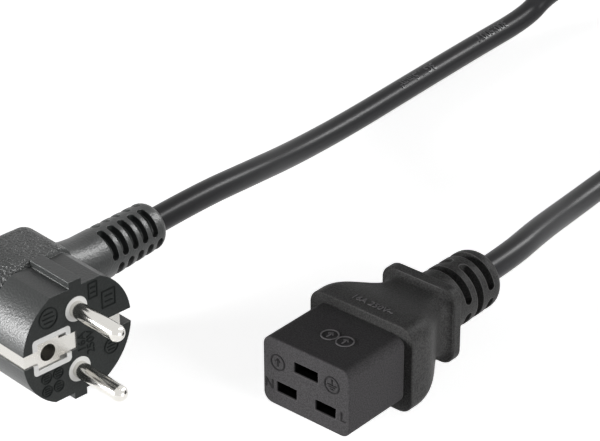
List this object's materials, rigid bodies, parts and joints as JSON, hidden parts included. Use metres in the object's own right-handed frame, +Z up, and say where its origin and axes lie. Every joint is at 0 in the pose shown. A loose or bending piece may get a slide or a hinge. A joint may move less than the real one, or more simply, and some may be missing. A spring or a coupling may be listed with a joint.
{
  "type": "c19 power connector",
  "caption": "Mains lead with a moulded C19 power connector: rigid slotted nose, swelling grip, finger flange, slotted strain relief, round cord and an angled earthed plug.",
  "frame": {"origin": "on the surface that the connector lies on, under the middle of the connector's own box, without its cord and plug", "axes": "-Y out of the connector's nose, +Y along its cord exit, +X to the right seen from behind the connector, +Z up"},
  "size_m": [0.1264, 0.4318, 0.0368],
  "materials": {
    "nose_plastic": "matt black moulded plastic",
    "inner_plastic": "plain grey moulded plastic, hidden",
    "grip_compound": "matt black soft compound with a fine spark texture",
    "cord_jacket": "satin black flexible jacket",
    "plug_compound": "satin black soft compound, textured on the hand block",
    "bridge_plastic": "light grey moulded plastic",
    "nickel_plate": "bright nickel plate",
    "contact_brass": "plain pressed brass",
    "copper": "bare stranded copper",
    "line_insulation": "brown insulation",
    "neutral_insulation": "blue insulation",
    "earth_insulation": "green and yellow insulation"
  },
  "bodies": {
    "root": {"nose_insert": "nose_plastic", "insert_cap": "nose_plastic", "inner_mould": "inner_plastic", "grip_moulding": "grip_compound", "jacket_end": "cord_jacket", "line_contact": "contact_brass", "neutral_contact": "contact_brass", "earth_contact": "contact_brass", "line_core": "line_insulation", "neutral_core": "neutral_insulation", "earth_core": "earth_insulation", "line_conductor": "copper", "neutral_conductor": "copper", "earth_conductor": "copper", "cord_connector_run": "cord_jacket", "cord_plug_run": "cord_jacket", "cord_coil": "cord_jacket", "plug_moulding": "plug_compound", "plug_bridge": "bridge_plastic", "plug_line_pin": "nickel_plate", "plug_neutral_pin": "nickel_plate", "plug_earth_clip": "nickel_plate", "plug_side_clip": "nickel_plate", "plug_earth_socket": "nickel_plate", "plug_line_conductor": "copper", "plug_neutral_conductor": "copper", "plug_jacket_end": "cord_jacket", "plug_line_core": "line_insulation", "plug_neutral_core": "neutral_insulation", "plug_earth_core": "earth_insulation"}
  },
  "joints": []
}
